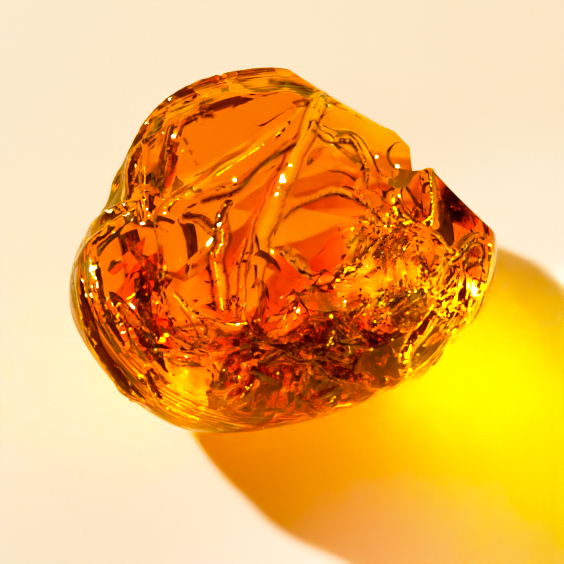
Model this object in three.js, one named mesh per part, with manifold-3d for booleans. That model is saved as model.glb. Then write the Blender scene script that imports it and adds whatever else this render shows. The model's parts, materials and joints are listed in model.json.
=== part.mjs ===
// A raw lump of clear amber, one solid piece: a flattened, rounded nodule whose lower sides keep their
// smooth water-worn skin, and whose upper side and back are broken into shell-shaped (conchoidal) scars.
//
// Frame: millimetres, +Z up, +X to the right, +Y away from the front. The origin is the middle of the
// lump's bounding box at the level of the small flat spot on which it rests.

import * as THREE from "three";
import { mergeVertices } from "three/addons/utils/BufferGeometryUtils.js";
import Module from "manifold-3d";

// Driving dimensions of the unbroken nodule, in millimetres and degrees.
const HALF_WIDTH = 23.0;
const HALF_DEPTH = 22.4;
const HALF_HEIGHT = 14.0;
const REST_SLICE = 0.7; // how much the resting spot takes off the underside
const FACE_TILT = 55; // the broken face is laid out on a plane that leans back, facing up at this angle

// The nodule's outline on that plane: its radius every 15 degrees, counterclockwise from the right.
const OUTLINE_STEP = 15;
const OUTLINE_RADII = [
  22.9, 22.4, 21.4, 19.4, 18.5, 19.1, 20.2, 20.6, 21.1, 20.9, 19.8, 19.6,
  22.1, 23.4, 22.9, 22.2, 21.4, 19.7, 18.3, 17.8, 18.0, 18.9, 20.3, 22.0,
];

// How finely the round surfaces are faceted, and how near two corners must be to count as one.
const NODULE_DETAIL = 13;
const SCAR_DETAIL = 9;
const WELD = 1e-4;

// Shell-shaped scars. A scar's place is given on the broken face's plane, in millimetres to the right and
// up from the nodule's middle.
//   at: where the scar is deepest
//   bite: its depth there, under the skin
//   curve: the radius of curvature of its floor, along its length and across it
//   turn: how its length is turned on the plane, in degrees, counterclockwise from the right
//   sweep: how far its ends bend sideways, in millimetres for each millimetre of length squared
const FRONT_SCARS = [
  { at: [-5.2, 11.6], bite: 3.4, curve: [50, 9], turn: 31 }, // large bowl at the upper left
  { at: [-6.6, 1.2], bite: 3.5, curve: [22, 8], turn: 62, sweep: 0.014 }, // wide end of the long trough
  { at: [-0.6, 10.6], bite: 3.7, curve: [60, 5], turn: 60 }, // its narrow end, which runs up to the top
  { at: [4.2, 0.6], bite: 5.4, curve: [11, 10], turn: 10 }, // round bowl right of the middle
  { at: [8.6, 12.2], bite: 3.0, curve: [40, 18], turn: -26 }, // broad scar at the upper right
  { at: [5.6, 7.6], bite: 3.8, curve: [18, 12], turn: -15 }, // step under it
  { at: [-0.2, -3.6], bite: 4.4, curve: [9, 4], turn: 82 }, // small deep bowl under the middle
  { at: [-6.6, -5.4], bite: 1.5, curve: [16, 6], turn: -8 }, // lip under the trough
  { at: [-16.6, 8.6], bite: 2.0, curve: [40, 30], turn: 80 }, // strip beside the large bowl
  { at: [-15.6, -1.2], bite: 1.7, curve: [26, 16], turn: 100 }, // lower left flank
  { at: [12.4, 2.2], bite: 3.2, curve: [20, 8], turn: 70 }, // hollow beside the right corner
  { at: [17.6, 4.4], bite: 2.4, curve: [60, 30], turn: -50 }, // upper scar of the right corner
  { at: [18.6, -1.6], bite: 1.9, curve: [40, 20], turn: 80 }, // its lower scar
  { at: [9.0, -5.4], bite: 2.1, curve: [16, 9], turn: 30 }, // below the round bowl
];
const BACK_SCARS = [
  { at: [-8.5, 8.5], bite: 2.6, curve: [44, 18], turn: 20 }, // long scar at the back's left
  { at: [7.5, 8.0], bite: 2.8, curve: [30, 16], turn: -38 }, // and at its right
  { at: [0.5, 14.0], bite: 2.0, curve: [26, 12], turn: 4 }, // low on the back, in the middle
  { at: [-0.5, 2.6], bite: 2.3, curve: [18, 12], turn: 75 }, // behind the resting spot
  { at: [15.5, -1.0], bite: 2.6, curve: [26, 12], turn: 65 }, // under the right corner
  { at: [-16.0, -0.5], bite: 2.3, curve: [24, 13], turn: 102 }, // under the left flank
  { at: [9.5, -9.0], bite: 2.2, curve: [15, 10], turn: 25 }, // right of the resting spot
  { at: [-10.0, -7.0], bite: 1.7, curve: [18, 12], turn: -40 }, // left of it
  { at: [-7.5, 17.6], bite: 1.5, curve: [26, 12], turn: 24 }, // high on the back, left
  { at: [7.0, 16.4], bite: 1.6, curve: [22, 16], turn: -30 }, // high on the back, right
];

// Two long flakes gone from the upper right edge. Each leaves a shallow scar of one radius, through two
// points of the plane, that leans back by an angle in degrees.
const FLAKE_RADIUS = 120;
const EDGE_FLAKES = [
  { from: [3.9, 17.4], to: [13.5, 12.0], lean: 2 },
  { from: [15.5, 8.8], to: [22.5, 2.0], lean: 0 },
];

// The notch between them: its inner corner on the plane, and its turn in degrees.
const NOTCH = { corner: [13.6, 8.5], turn: 4 };

const wasm = await Module();
wasm.setup();

// The three directions of the broken face's plane: right, up along the plane, and out towards the front.
const tilt = THREE.MathUtils.degToRad(FACE_TILT);
const ALONG = new THREE.Vector3(1, 0, 0);
const UP = new THREE.Vector3(0, Math.sin(tilt), Math.cos(tilt));
const OUT = new THREE.Vector3(0, -Math.cos(tilt), Math.sin(tilt));
const FACE = new THREE.Matrix4().makeBasis(ALONG, UP, OUT);
const FACE_INVERSE = FACE.clone().invert();
const RADII = new THREE.Vector3(HALF_WIDTH, HALF_DEPTH, HALF_HEIGHT);

function facePoint(right, up, out) {
  return new THREE.Vector3(right, up, out).applyMatrix4(FACE);
}

function solidOf(geometry) {
  geometry.deleteAttribute("normal");
  geometry.deleteAttribute("uv");
  const merged = mergeVertices(geometry, WELD);
  return new wasm.Manifold(
    new wasm.Mesh({
      numProp: 3,
      vertProperties: merged.attributes.position.array,
      triVerts: new Uint32Array(merged.index.array),
    }),
  );
}

// Radius of the outline at any angle, by a smooth curve through the listed radii.
function outlineRadius(angle) {
  const count = OUTLINE_RADII.length;
  const place = THREE.MathUtils.euclideanModulo(THREE.MathUtils.radToDeg(angle) / OUTLINE_STEP, count);
  const i = Math.floor(place);
  const t = place - i;
  const [a, b, c, d] = [-1, 0, 1, 2].map((k) => OUTLINE_RADII[(i + k + count) % count]);
  return b + 0.5 * t * (c - a + t * (2 * a - 5 * b + 4 * c - d + t * (3 * (b - c) + d - a)));
}

// Radius, at the same angle, of the outline that the plain ellipsoid would show on the plane.
function ellipsoidRadius(angle) {
  const halfUp = Math.hypot(HALF_DEPTH * Math.sin(tilt), HALF_HEIGHT * Math.cos(tilt));
  return 1 / Math.hypot(Math.cos(angle) / HALF_WIDTH, Math.sin(angle) / halfUp);
}

// An ellipsoid, stretched along the plane so that its outline becomes the listed one.
function nodule() {
  const geometry = new THREE.IcosahedronGeometry(1, NODULE_DETAIL);
  const positions = geometry.attributes.position;
  for (let i = 0; i < positions.count; i++) {
    const point = new THREE.Vector3().fromBufferAttribute(positions, i).multiply(RADII);
    const { x, y, z } = point.applyMatrix4(FACE_INVERSE);
    const angle = Math.atan2(y, x);
    const stretch = outlineRadius(angle) / ellipsoidRadius(angle);
    positions.setXYZ(i, ...facePoint(x * stretch, y * stretch, z));
  }
  return solidOf(geometry);
}

// Where a line square to the plane meets the ellipsoid's front (side 1) or back (side -1).
function skinPoint(right, up, side) {
  const start = facePoint(right, up, 0).divide(RADII);
  const step = OUT.clone().divide(RADII);
  const half = start.dot(step);
  const squared = step.lengthSq();
  const root = Math.sqrt(Math.max(half * half - squared * (start.lengthSq() - 1), 0));
  return facePoint(right, up, (side * root - half) / squared);
}

function skinNormal(point) {
  return point.clone().divide(RADII).divide(RADII).normalize();
}

// The ellipsoid that bites a scar out of the skin.
function scar({ at, bite, curve, turn, sweep = 0 }, side) {
  const deepest = skinPoint(...at, side);
  const facing = skinNormal(deepest);
  const length = ALONG.clone().applyAxisAngle(OUT, THREE.MathUtils.degToRad(turn));
  const across = facing.clone().cross(length).normalize();
  length.copy(across).cross(facing);
  const [along, wide] = curve;
  const middling = Math.sqrt(along * wide);
  const radii = along > wide ? [middling, wide, wide] : [along, middling, along];
  const geometry = new THREE.IcosahedronGeometry(1, SCAR_DETAIL).scale(...radii);
  const positions = geometry.attributes.position;
  for (let i = 0; i < positions.count; i++) {
    positions.setY(i, positions.getY(i) + sweep * positions.getX(i) ** 2);
  }
  const place = new THREE.Matrix4().makeBasis(length, across, facing);
  place.setPosition(deepest.addScaledVector(facing, radii[2] - bite));
  return solidOf(geometry.applyMatrix4(place));
}

// The large sphere that takes a flake off the edge.
function edgeFlake({ from, to, lean }) {
  const start = new THREE.Vector2(...from);
  const line = new THREE.Vector2(...to).sub(start);
  const middle = start.clone().addScaledVector(line, 0.5);
  const outward = new THREE.Vector2(-line.y, line.x).normalize();
  const reach = Math.sqrt(FLAKE_RADIUS ** 2 - line.lengthSq() / 4);
  const slant = THREE.MathUtils.degToRad(lean);
  middle.addScaledVector(outward, reach * Math.cos(slant));
  const centre = facePoint(middle.x, middle.y, reach * Math.sin(slant));
  const geometry = new THREE.IcosahedronGeometry(FLAKE_RADIUS, 2 * SCAR_DETAIL);
  return solidOf(geometry.translate(...centre));
}

// A square block with one upright edge on the notch's inner corner.
function notch({ corner, turn }) {
  const size = HALF_WIDTH;
  const geometry = new THREE.BoxGeometry(size, size, 2 * size).translate(size / 2, size / 2, 0);
  geometry.rotateZ(THREE.MathUtils.degToRad(turn)).translate(...corner, 0);
  return solidOf(geometry.applyMatrix4(FACE));
}

// What the flat resting spot takes off the underside.
function restingSlice() {
  const size = 4 * HALF_WIDTH;
  const geometry = new THREE.BoxGeometry(size, size, size);
  return solidOf(geometry.translate(0, 0, REST_SLICE - HALF_HEIGHT - size / 2));
}

// The whole lump, with its origin under the middle of its bounding box.
function lump() {
  let solid = nodule().subtract(restingSlice()).subtract(notch(NOTCH));
  for (const flake of EDGE_FLAKES) solid = solid.subtract(edgeFlake(flake));
  for (const front of FRONT_SCARS) solid = solid.subtract(scar(front, 1));
  for (const back of BACK_SCARS) solid = solid.subtract(scar(back, -1));
  const { min, max } = solid.boundingBox();
  return solid.translate(-(min[0] + max[0]) / 2, -(min[1] + max[1]) / 2, -min[2]);
}

function geometryOf(solid) {
  const mesh = solid.getMesh();
  const geometry = new THREE.BufferGeometry();
  geometry.setAttribute("position", new THREE.BufferAttribute(mesh.vertProperties, mesh.numProp));
  geometry.setIndex(new THREE.BufferAttribute(mesh.triVerts, 1));
  return geometry;
}

const amber = new THREE.Mesh(
  geometryOf(lump()),
  new THREE.MeshStandardMaterial({ color: 0xf07014, roughness: 0.08, metalness: 0 }),
);
amber.name = "amber";

const model = new THREE.Group();
model.add(amber);
export default model;
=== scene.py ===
import json
import math
import random

import bmesh
import bpy
import numpy as np
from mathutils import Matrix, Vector
from mathutils.bvhtree import BVHTree

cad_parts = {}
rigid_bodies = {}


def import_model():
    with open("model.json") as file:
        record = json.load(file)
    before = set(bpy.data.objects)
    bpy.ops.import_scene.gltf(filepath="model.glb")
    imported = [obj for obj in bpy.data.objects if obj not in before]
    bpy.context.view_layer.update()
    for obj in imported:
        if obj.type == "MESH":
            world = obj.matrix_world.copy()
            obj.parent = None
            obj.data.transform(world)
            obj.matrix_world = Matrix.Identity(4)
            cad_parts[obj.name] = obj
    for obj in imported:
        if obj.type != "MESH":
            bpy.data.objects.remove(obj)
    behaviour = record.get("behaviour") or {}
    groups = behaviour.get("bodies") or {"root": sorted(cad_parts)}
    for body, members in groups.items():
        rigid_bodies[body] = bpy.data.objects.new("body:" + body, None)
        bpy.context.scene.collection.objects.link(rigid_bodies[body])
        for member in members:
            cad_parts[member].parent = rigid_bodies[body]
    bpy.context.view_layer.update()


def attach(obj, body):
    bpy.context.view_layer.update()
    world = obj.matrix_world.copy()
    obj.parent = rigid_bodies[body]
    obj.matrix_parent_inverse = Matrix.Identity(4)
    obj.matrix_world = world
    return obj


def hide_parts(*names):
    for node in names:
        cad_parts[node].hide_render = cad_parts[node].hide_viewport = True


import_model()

# The nodule. A drop of tree resin that hardened, was buried and later worn round by water: clear amber,
# in one piece. Its outline is the one seen square to the broken face, a plane that leans back by
# FACE_TILT. ALONG and UP are the ways across and up that face, and OUT is the way straight out of it.
MM = 0.001
HALF_SIZE = np.array((23.0, 22.4, 14.0)) * MM
REST_SLICE = 0.7 * MM
FACE_TILT = math.radians(55)
ALONG = np.array((1.0, 0.0, 0.0))
UP = np.array((0.0, math.sin(FACE_TILT), math.cos(FACE_TILT)))
OUT = np.array((0.0, -math.cos(FACE_TILT), math.sin(FACE_TILT)))
FACE = np.array((ALONG, UP, OUT))
NODULE_FINENESS = 7

# Radius of the outline every OUTLINE_STEP degrees, counterclockwise from the right.
OUTLINE_STEP = 15
OUTLINE_RADII = MM * np.array((
    22.9, 22.4, 21.4, 19.4, 18.5, 19.1, 20.2, 20.6, 21.1, 20.9, 19.8, 19.6,
    22.1, 23.4, 22.9, 22.2, 21.4, 19.7, 18.3, 17.8, 18.0, 18.9, 20.3, 22.0,
))


def outline_radius(angle):
    place = np.degrees(angle) % 360 / OUTLINE_STEP
    i = place.astype(int)
    t = place - i
    a, b, c, d = (OUTLINE_RADII[(i + k) % len(OUTLINE_RADII)] for k in (-1, 0, 1, 2))
    return b + 0.5 * t * (c - a + t * (2 * a - 5 * b + 4 * c - d + t * (3 * (b - c) + d - a)))


def points_of(piece):
    points = np.empty(3 * len(piece.data.vertices))
    piece.data.vertices.foreach_get("co", points)
    return points.reshape(-1, 3)


def move_points(piece, points):
    piece.data.vertices.foreach_set("co", points.ravel())
    piece.data.update()


def new_ball(name, fineness):
    bpy.ops.object.select_all(action="DESELECT")
    bpy.ops.mesh.primitive_ico_sphere_add(subdivisions=fineness, radius=1)
    ball = bpy.context.object
    ball.name = name
    return ball


lump = new_ball("amber_lump", NODULE_FINENESS)
lump_points = points_of(lump) * HALF_SIZE
on_face = lump_points @ FACE.T
face_angle = np.arctan2(on_face[:, 1], on_face[:, 0])
half_up = math.hypot(HALF_SIZE[1] * math.sin(FACE_TILT), HALF_SIZE[2] * math.cos(FACE_TILT))
plain_radius = 1 / np.hypot(np.cos(face_angle) / HALF_SIZE[0], np.sin(face_angle) / half_up)
on_face[:, :2] *= (outline_radius(face_angle) / plain_radius)[:, None]
move_points(lump, on_face @ FACE)

# The flat spot that it lies on: the underside is cut level and the cut is closed.
bpy.ops.object.mode_set(mode="EDIT")
bpy.ops.mesh.select_all(action="SELECT")
bpy.ops.mesh.bisect(
    plane_co=(0, 0, REST_SLICE - HALF_SIZE[2]), plane_no=(0, 0, 1), clear_inner=True, use_fill=True
)
bpy.ops.object.mode_set(mode="OBJECT")

# The scars. Amber breaks like glass, in shell-shaped hollows with faint ripples round the point of the
# blow. A scar is a ball, drawn out to its floor's two radii of curvature, that is taken off the lump.
# Its place, bite and curve are in millimetres, its turn in degrees.
FRONT, BACK = 1, -1
FRONT_FINENESS, BACK_FINENESS = 6, 5
cutters = bpy.data.collections.new("cutters")
bpy.context.scene.collection.children.link(cutters)


def make_cutter(piece):
    for home in piece.users_collection:
        home.objects.unlink(piece)
    cutters.objects.link(piece)


def pick(piece):
    bpy.ops.object.select_all(action="DESELECT")
    piece.select_set(True)
    bpy.context.view_layer.objects.active = piece


def take_off_cutters():
    pick(lump)
    cut = lump.modifiers.new("scars", "BOOLEAN")
    cut.operation = "DIFFERENCE"
    cut.solver = "MANIFOLD"
    cut.operand_type = "COLLECTION"
    cut.collection = cutters
    bpy.ops.object.modifier_apply(modifier=cut.name)
    for cutter in list(cutters.objects):
        bpy.data.meshes.remove(cutter.data)


def skin_point(right, up, side):
    start = (right * ALONG + up * UP) / HALF_SIZE
    step = OUT / HALF_SIZE
    half, squared = start @ step, step @ step
    root = math.sqrt(max(half * half - squared * (start @ start - 1), 0))
    return right * ALONG + up * UP + (side * root - half) / squared * OUT


def scar(right, up, bite, curve, turn, sweep=0.0, side=FRONT, ripple=0.0, spacing=2.0, blow=(1.0, 0.0)):
    deepest = skin_point(right * MM, up * MM, side)
    facing = deepest / HALF_SIZE**2
    facing /= np.linalg.norm(facing)
    length = math.cos(math.radians(turn)) * ALONG + math.sin(math.radians(turn)) * UP
    across = np.cross(facing, length)
    across /= np.linalg.norm(across)
    length = np.cross(across, facing)
    along, wide = curve
    middling = math.sqrt(along * wide)
    radii = np.array((middling, wide, wide) if along > wide else (along, middling, along)) * MM
    ball = new_ball("scar", FRONT_FINENESS if side == FRONT else BACK_FINENESS)
    points = points_of(ball) * radii
    away = np.hypot(points[:, 0] - blow[0] * MM, points[:, 1] - blow[1] * MM) / (spacing * MM)
    points[:, 2] += ripple * MM * np.sin(2 * math.pi * away) / (1 + away / 4)
    points[:, 1] += sweep / MM * points[:, 0] ** 2
    points[:, 2] += radii[2]
    move_points(ball, points @ np.array((length, across, facing)) + deepest - bite * MM * facing)
    make_cutter(ball)


scar(-5.2, 11.6, 3.4, (50, 9), 31, ripple=0.03, blow=(9, -4), spacing=2.6)
scar(-6.6, 1.2, 3.5, (22, 8), 62, sweep=0.014, ripple=0.02, blow=(12, 0), spacing=2.8)
scar(-0.6, 10.6, 3.7, (60, 5), 60)
scar(8.6, 12.2, 3.0, (40, 18), -26, ripple=0.02, blow=(-9, 2), spacing=2.6)
scar(5.6, 7.6, 3.8, (18, 12), -15)
scar(-6.6, -5.4, 1.5, (16, 6), -8)
scar(-16.6, 8.6, 2.0, (40, 30), 80)
scar(-15.6, -1.2, 1.7, (26, 16), 100)
scar(12.4, 2.2, 3.2, (20, 8), 70)
scar(17.6, 4.4, 2.4, (60, 30), -50)
scar(18.6, -1.6, 1.9, (40, 20), 80)
scar(9.0, -5.4, 2.1, (16, 9), 30)

BACK_SCARS = (
    (-8.5, 8.5, 2.6, (44, 18), 20), (7.5, 8.0, 2.8, (30, 16), -38), (0.5, 14.0, 2.0, (26, 12), 4),
    (-0.5, 2.6, 2.3, (18, 12), 75), (15.5, -1.0, 2.6, (26, 12), 65), (-16.0, -0.5, 2.3, (24, 13), 102),
    (9.5, -9.0, 2.2, (15, 10), 25), (-10.0, -7.0, 1.7, (18, 12), -40), (-7.5, 17.6, 1.5, (26, 12), 24),
    (7.0, 16.4, 1.6, (22, 16), -30),
)
for values in BACK_SCARS:
    scar(*values, side=BACK)

# The broken edge on the upper right. Two long flakes were struck off, each through two points of the
# face, and a square notch was left between them.
FLAKE_FINENESS = 7
FLAKE_RADIUS = 120 * MM
UPPER_FLAKE = ((3.9, 17.4), (13.5, 12.0))
UPPER_FLAKE_LEAN = math.radians(2)
RIGHT_FLAKE = ((15.5, 8.8), (22.5, 2.0))
NOTCH_CORNER = np.array((13.6, 8.5, 0)) * MM
NOTCH_SIZE = np.array((23, 23, 46)) * MM
NOTCH_TURN = math.radians(4)


def edge_flake(start, end, lean):
    start, end = np.array(start) * MM, np.array(end) * MM
    line = end - start
    outward = np.array((-line[1], line[0])) / np.linalg.norm(line)
    reach = math.sqrt(FLAKE_RADIUS**2 - line @ line / 4)
    middle = (start + end) / 2 + outward * reach * math.cos(lean)
    centre = np.array((*middle, reach * math.sin(lean))) @ FACE
    ball = new_ball("flake", FLAKE_FINENESS)
    move_points(ball, points_of(ball) * FLAKE_RADIUS + centre)
    make_cutter(ball)


edge_flake(*UPPER_FLAKE, UPPER_FLAKE_LEAN)
edge_flake(*RIGHT_FLAKE, 0)

bpy.ops.object.select_all(action="DESELECT")
bpy.ops.mesh.primitive_cube_add(size=1)
block = bpy.context.object
corners = (points_of(block) + (0.5, 0.5, 0)) * NOTCH_SIZE
turned = np.array((
    (math.cos(NOTCH_TURN), math.sin(NOTCH_TURN), 0),
    (-math.sin(NOTCH_TURN), math.cos(NOTCH_TURN), 0),
    (0, 0, 1),
))
move_points(block, (corners @ turned + NOTCH_CORNER) @ FACE)
make_cutter(block)
take_off_cutters()

# The chipped rim. Small flakes are gone from the upper edge. Each left a face that leans outwards and
# cuts the outline a little. A flake is given by its angle on the face, how far in it reaches, its lean
# and its curve.
RIM_SLANT = 0.358
RIM_FLAKES = (
    (60, 0.2, 50, 9), (68, 0.1, 40, 7), (78, 0.15, 45, 10), (88, 0.1, 50, 7), (97, 0.35, 38, 9),
    (105, 0.15, 45, 6), (113, 0.3, 40, 8), (121, 0.4, 36, 7), (129, 0.15, 45, 9), (137, 0.35, 40, 7),
)
for angle, inset, lean, curve in RIM_FLAKES:
    angle, lean = math.radians(angle), math.radians(lean)
    outwards = math.cos(angle) * ALONG + math.sin(angle) * UP
    radius = float(outline_radius(np.array(angle))) - inset * MM
    plain = 1 / math.hypot(math.cos(angle) / HALF_SIZE[0], math.sin(angle) / half_up)
    behind = plain * math.sin(angle) * RIM_SLANT
    facing = math.cos(lean) * OUT + math.sin(lean) * outwards
    ball = new_ball("rim_flake", FRONT_FINENESS)
    centre = radius * outwards - behind * OUT + curve * MM * facing
    move_points(ball, points_of(ball) * curve * MM + centre)
    make_cutter(ball)
take_off_cutters()

# Two small round hollows, blown out of the floor of the large ones: the smooth bowl on the right and
# the deeper one beside it. They are taken off once here and again over the ridges.
RIGHT_BOWL = {"turn": 10, "ripple": 0.012, "blow": (6, 6), "spacing": 2.4}
SMALL_BOWL = {"turn": 82}
scar(4.0, 0.4, 5.0, (8.4, 7.6), **RIGHT_BOWL)
scar(-0.2, -3.6, 4.6, (7, 3.2), **SMALL_BOWL)
take_off_cutters()

# The ridges and steps of the broken face, which two neighbouring scars left between them. A ridge is a
# line through stops. A stop gives a place in the picture, in pixels, how far the ridge stands up there
# and its half width, or that of its left and of its right side, in millimetres.
PIXELS_PER_MM = 9.35
FACE_PIXEL = (283, 252)
RIDGE_STEP = 0.4
FINEST_FACE, FACE_SHARE = 0.235, 0.36
REFINEMENTS = 3
WANDER, FINE_WANDER = 0.1, 0.02
RIM_GAP, RIM_FADE = 0.3, 1.2
RIDGES = {
    "central ridge": (
        (332, 84, 0.3, 0.8), (318, 100, 0.7, 1.0), (305, 135, 1.0, 1.3), (290, 168, 1.2, 1.5),
        (276, 200, 1.2, 1.4), (264, 235, 1.1, 1.3, 1.2), (257, 270, 0.9, 1.1, 1.0),
        (254, 300, 0.7, 0.9), (256, 320, 0.2, 0.8),
    ),
    "line beside the ridge": (
        (272, 195, 0.1, 0.5), (252, 235, 0.5, 0.5), (243, 280, 0.5, 0.5), (246, 318, 0.2, 0.5),
    ),
    "second line beside the ridge": (
        (262, 215, 0.1, 0.5), (244, 250, 0.5, 0.5), (234, 290, 0.5, 0.5), (238, 322, 0.2, 0.5),
    ),
    "upper edge of the band": (
        (165, 213, 0.3, 0.7, 1.5), (200, 190, 0.9, 1.0, 1.6), (245, 160, 1.0, 1.6),
        (280, 135, 0.8, 1.8, 1.4), (315, 98, 0.2, 1.0),
    ),
    "lower edge of the band": (
        (190, 207, 0.3, 1.2, 0.5), (225, 197, 0.9, 1.4, 0.55), (245, 192, 1.0, 1.4, 0.55),
        (262, 178, 1.0, 1.4, 0.5), (290, 148, 0.7, 1.0, 0.5), (315, 128, 0.2, 0.8, 0.5),
    ),
    "left wall of the upper bowl": (
        (150, 112, 0.5, 1.6, 0.5), (147, 140, 1.0, 2.0, 0.6), (147, 165, 1.0, 2.0, 0.6),
        (148, 208, 0.4, 1.5, 0.6),
    ),
    "wedge": ((172, 130, 0.2, 1.0, 0.3), (170, 165, 0.6, 1.2, 0.35), (165, 197, 0.2, 1.0, 0.3)),
    "rim of the right bowl": (
        (266, 262, 0.3, 2.0, 0.4), (270, 235, 0.9, 2.5, 0.45), (285, 214, 1.0, 3.0, 0.5),
        (310, 199, 0.9, 3.0, 0.45), (345, 194, 0.8, 2.5, 0.4), (385, 225, 0.3, 2.0, 0.4),
    ),
    "upper right step": (
        (312, 130, 0.3, 1.0, 0.35), (325, 140, 0.6, 1.3, 0.4), (350, 143, 0.6, 1.3, 0.4),
        (360, 160, 0.6, 1.3, 0.4), (368, 192, 0.3, 1.0, 0.4),
    ),
    "left step": (
        (160, 212, 0.2, 2.0, 0.3), (165, 250, 0.6, 2.5, 0.3), (170, 290, 0.7, 2.5, 0.35),
        (182, 332, 0.3, 2.0, 0.3),
    ),
    "horn": (
        (187, 219, 0.2, 0.5, 0.6), (205, 221, 0.6, 0.6, 0.8), (216, 230, 0.7, 0.6, 0.8),
        (230, 205, 0.2, 0.5),
    ),
    "thin ridge under the horn": (
        (222, 222, 0.2, 0.5, 0.6), (225, 240, 0.9, 0.6), (218, 260, 0.9, 0.6), (222, 285, 0.8, 0.6),
        (226, 312, 0.2, 0.5, 0.6),
    ),
    "lip": (
        (186, 303, 0.2, 0.6), (215, 318, 0.8, 0.7, 0.6), (240, 323, 0.9, 0.7, 0.6),
        (266, 316, 0.2, 0.6),
    ),
    "ridge under the notch": (
        (391, 200, 0.2, 0.8), (400, 222, 0.9, 1.0), (425, 240, 1.1, 1.1), (443, 257, 1.2, 1.0),
        (470, 240, 0.8, 0.9), (487, 243, 0.2, 0.8),
    ),
    "edge of the right block": ((428, 168, 0.3, 0.8), (426, 200, 0.9, 0.9), (430, 225, 0.3, 0.8)),
    "ridge through the crushed place": (
        (446, 255, 0.3, 0.8), (420, 285, 1.0, 1.0, 0.9), (395, 300, 1.0, 1.0, 0.9),
        (368, 316, 0.3, 0.8),
    ),
    "low loop on the right": (
        (440, 300, 0.2, 0.7), (415, 330, 0.8, 0.7), (400, 355, 0.9, 0.7), (402, 370, 0.9, 0.7),
        (420, 370, 0.8, 0.7), (447, 350, 0.2, 0.7),
    ),
    "left rim": (
        (82, 270, 0.2, 0.8, 0.5), (90, 315, 0.9, 1.0, 0.6), (105, 350, 1.0, 1.0, 0.6),
        (130, 385, 0.9, 1.0, 0.6), (155, 402, 0.2, 0.8, 0.5),
    ),
    "inner left rim": (
        (96, 250, 0.2, 0.6, 0.8), (103, 285, 0.8, 0.6, 1.0), (112, 315, 0.8, 0.6, 1.0),
        (128, 345, 0.2, 0.5, 0.8),
    ),
    "left shoulder": ((78, 265, 0.2, 0.6), (105, 236, 0.9, 0.7), (150, 207, 0.3, 0.6)),
    "upper left shoulder": ((84, 232, 0.2, 0.6), (115, 212, 0.8, 0.6), (150, 203, 0.3, 0.6)),
    "low left step": ((118, 300, 0.2, 1.2, 0.6), (150, 345, 0.9, 1.5, 0.6), (172, 374, 0.2, 1.0, 0.6)),
    "step under the lip": (
        (172, 326, 0.2, 1.0, 0.6), (210, 346, 0.9, 1.4, 0.6), (250, 340, 0.3, 1.0, 0.6),
    ),
    "low middle step": (
        (250, 330, 0.2, 1.0, 0.7), (300, 352, 0.9, 1.2, 0.7), (345, 345, 0.2, 1.0, 0.7),
    ),
    "lowest step": ((300, 345, 0.2, 1.0, 0.6), (335, 372, 0.9, 1.2, 0.6), (392, 384, 0.2, 1.0, 0.6)),
    "upper left rim": (
        (146, 100, 0.2, 0.7), (124, 140, 0.9, 0.8), (114, 178, 0.9, 0.8), (100, 216, 0.2, 0.7),
    ),
    "inner upper left rim": ((150, 122, 0.2, 0.7), (134, 158, 0.8, 0.7), (128, 200, 0.2, 0.7)),
    "rim of the small bowl": (
        (262, 253, 0.2, 1.2, 0.4), (285, 245, 0.5, 1.5, 0.4), (308, 258, 0.6, 1.5, 0.4),
        (317, 290, 0.6, 1.5, 0.4), (300, 328, 0.2, 1.2, 0.4),
    ),
}

# Lines of painted light and painted shade in the amber's colour: painted light on crests that let more light
# through, painted shade at the dark feet of ridges and along the edges of inner cracks. A line is given by
# its width in millimetres, its strength and its stops in the picture.
LINE_MARGIN = 1.5
# Painted light: crests drawn lighter and more golden in the amber's colour.
PAINTED_LIGHT_LINES = {
    "left rim band": (0.35, 0.9, (75, 262), (80, 290), (92, 330), (112, 365), (128, 382)),
    "thin ridge": (0.2, 1.0, (222, 228), (224, 242), (219, 262), (223, 288), (226, 308)),
    "central ridge": (0.5, 0.9, (320, 98), (305, 135), (290, 168), (276, 200), (264, 235)),
    "under the notch": (0.22, 1.0, (390, 196), (393, 215), (409, 231), (427, 249), (440, 260)),
    "block": (0.2, 1.0, (428, 170), (428, 193), (429, 215), (415, 227)),
    "crushed place": (0.3, 1.0, (424, 249), (415, 268), (399, 293), (377, 318), (359, 335), (346, 337)),
    "fork": (0.25, 1.0, (404, 290), (427, 290), (446, 315)),
    "right arm": (0.25, 1.0, (473, 235), (459, 249), (443, 263), (415, 281)),
    "upper spike": (0.25, 1.0, (359, 281), (357, 296), (363, 312)),
    "left spike": (0.25, 1.0, (340, 290), (343, 321), (346, 337), (347, 362)),
    "short spike": (0.15, 0.9, (318, 322), (346, 335)),
    "right rim": (0.55, 1.0, (474, 250), (482, 280), (477, 308), (465, 326)),
    "low right edge": (0.3, 1.0, (413, 312), (400, 330), (390, 348)),
    "low loop": (0.2, 1.0, (396, 350), (393, 365), (407, 373), (425, 371), (440, 358), (452, 342)),
    "lip": (0.2, 0.9, (190, 305), (215, 318), (240, 322), (262, 318)),
    "band edge": (0.15, 0.9, (165, 210), (200, 187), (245, 157), (280, 132), (312, 98)),
    "band floor": (0.7, 0.6, (192, 186), (222, 168), (250, 148)),
    "left shoulder": (0.15, 0.9, (100, 240), (125, 218), (150, 208)),
    "low left edge": (0.2, 0.9, (150, 330), (165, 350), (178, 372)),
}
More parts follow.
